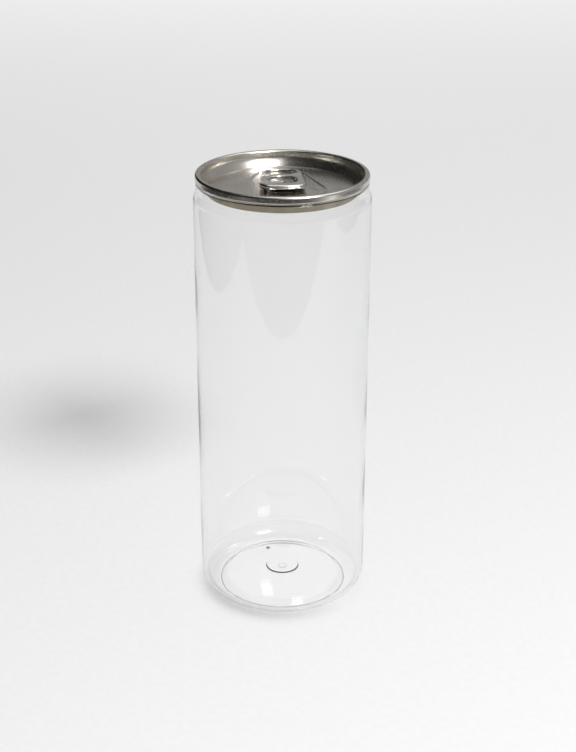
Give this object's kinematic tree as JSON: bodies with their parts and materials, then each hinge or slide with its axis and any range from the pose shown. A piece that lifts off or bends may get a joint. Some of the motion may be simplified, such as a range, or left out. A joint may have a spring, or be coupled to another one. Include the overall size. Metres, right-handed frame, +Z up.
{
  "type": "clear plastic drink can",
  "caption": "Slim clear PET drink can, empty and closed, with a pushed-up base, a shallow shoulder and a double-seamed metal end with a stay-on pull tab.",
  "frame": {"origin": "middle of the standing ring, on the surface the can stands on", "axes": "+Z up along the can's axis; the pull tab's nose and the scored opening point along -Y, its finger loop along +Y"},
  "size_m": [0.0576, 0.0576, 0.1498],
  "materials": {
    "clear_pet": "clear blown PET, glossy",
    "end_aluminium": "rolled sheet, clear lacquer, satin",
    "tab_aluminium": "curled sheet, bright"
  },
  "bodies": {
    "root": {"pet_body": "clear_pet", "metal_end": "end_aluminium", "pull_tab": "tab_aluminium"}
  },
  "joints": []
}
